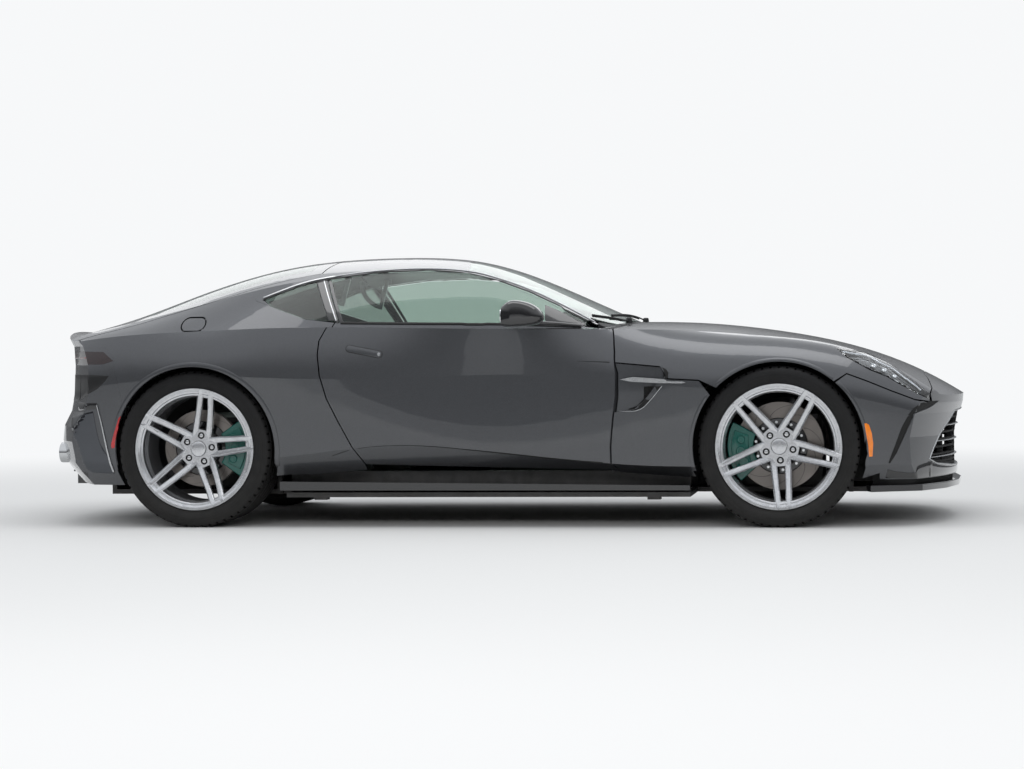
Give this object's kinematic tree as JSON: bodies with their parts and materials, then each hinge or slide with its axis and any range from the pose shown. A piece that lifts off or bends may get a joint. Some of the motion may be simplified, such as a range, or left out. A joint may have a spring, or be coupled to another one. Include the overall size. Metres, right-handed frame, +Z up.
{
  "type": "coupe car",
  "caption": "Two-door front-engined grand touring coupe with clamshell bonnet, rear hatch and twin-spoke wheels.",
  "frame": {"origin": "on the ground, at the middle of the car's length and width", "axes": "+X to the nose, +Y to the car's left, +Z up"},
  "size_m": [4.42, 2.09, 1.275],
  "materials": {
    "paint": "metallic gloss",
    "glass": "clear, lightly tinted",
    "gloss_black": "gloss black",
    "black_plastic": "grained black",
    "bright_trim": "satin bright",
    "lamp": "clear lens",
    "tail_lamp": "red lens",
    "rim": "silver paint",
    "tyre": "black rubber",
    "disc": "machined",
    "caliper": "gloss teal",
    "chassis": "cast",
    "seat": "black leather",
    "engine": "cast",
    "exhaust": "polished"
  },
  "bodies": {
    "body": {"floor_pan": "chassis", "wheel_liners": "black_plastic", "lower_wings": "paint", "rear_quarters": "paint", "roof_frame": "paint", "front_bumper": "paint", "front_splitter": "gloss_black", "grille": "bright_trim", "windscreen": "glass", "cowl": "black_plastic", "quarter_glass": "glass", "rear_bumper": "paint", "rear_diffuser": "gloss_black", "exhaust_tips": "exhaust", "tail_lamps": "tail_lamp", "side_skirts": "gloss_black", "side_strakes": "bright_trim", "dashboard": "black_plastic", "steering_wheel": "black_plastic", "seats": "seat", "engine_block": "engine", "suspension_arms": "chassis", "rear_uprights": "chassis", "rear_calipers": "caliper"},
    "bonnet": {"bonnet": "paint", "headlamps": "lamp"},
    "hatch": {"hatch": "paint", "hatch_glass": "glass"},
    "door_left": {"door_left": "paint", "door_glass_left": "glass", "mirror_left": "gloss_black"},
    "door_right": {"door_right": "paint", "door_glass_right": "glass", "mirror_right": "gloss_black"},
    "fuel_flap": {"fuel_flap": "paint"},
    "knuckle_left": {"knuckle_left": "chassis", "front_caliper_left": "caliper"},
    "knuckle_right": {"knuckle_right": "chassis", "front_caliper_right": "caliper"},
    "wheel_front_left": {"rim_front_left": "rim", "tyre_front_left": "tyre", "disc_front_left": "disc"},
    "wheel_front_right": {"rim_front_right": "rim", "tyre_front_right": "tyre", "disc_front_right": "disc"},
    "wheel_rear_left": {"rim_rear_left": "rim", "tyre_rear_left": "tyre", "disc_rear_left": "disc"},
    "wheel_rear_right": {"rim_rear_right": "rim", "tyre_rear_right": "tyre", "disc_rear_right": "disc"}
  },
  "joints": [
    {"name": "steer_left", "type": "hinge", "parent": "body", "child": "knuckle_left", "pos_m": [1.3725, 0.737, 0.363], "axis": [0, 0, 1], "range_deg": [-30, 30]},
    {"name": "steer_right", "type": "hinge", "parent": "body", "child": "knuckle_right", "pos_m": [1.3725, -0.737, 0.363], "axis": [0, 0, 1], "range_deg": [-30, 30]},
    {"name": "spin_front_left", "type": "hinge", "parent": "knuckle_left", "child": "wheel_front_left", "pos_m": [1.3725, 0.812, 0.363], "axis": [0, 1, 0], "continuous": true},
    {"name": "spin_front_right", "type": "hinge", "parent": "knuckle_right", "child": "wheel_front_right", "pos_m": [1.3725, -0.812, 0.363], "axis": [0, 1, 0], "continuous": true},
    {"name": "spin_rear_left", "type": "hinge", "parent": "body", "child": "wheel_rear_left", "pos_m": [-1.3325, 0.802, 0.364], "axis": [0, 1, 0], "continuous": true},
    {"name": "spin_rear_right", "type": "hinge", "parent": "body", "child": "wheel_rear_right", "pos_m": [-1.3325, -0.802, 0.364], "axis": [0, 1, 0], "continuous": true},
    {"name": "door_left_hinge", "type": "hinge", "parent": "body", "child": "door_left", "pos_m": [0.54, 0.86, 0.6], "axis": [0, 0, -1], "range_deg": [0, 65]},
    {"name": "door_right_hinge", "type": "hinge", "parent": "body", "child": "door_right", "pos_m": [0.54, -0.86, 0.6], "axis": [0, 0, 1], "range_deg": [0, 65]},
    {"name": "bonnet_hinge", "type": "hinge", "parent": "body", "child": "bonnet", "pos_m": [2.12, 0, 0.58], "axis": [0, 1, 0], "range_deg": [0, 50]},
    {"name": "hatch_hinge", "type": "hinge", "parent": "body", "child": "hatch", "pos_m": [-0.7, 0, 1.174], "axis": [0, 1, 0], "range_deg": [0, 60]},
    {"name": "fuel_flap_hinge", "type": "hinge", "parent": "body", "child": "fuel_flap", "pos_m": [-1.345, -0.7298, 0.9451], "axis": [0, 0.7741, 0.6331], "range_deg": [0, 90]}
  ],
  "couplings": [
    {"joint": "steer_right", "follows": "steer_left", "ratio": 1}
  ]
}
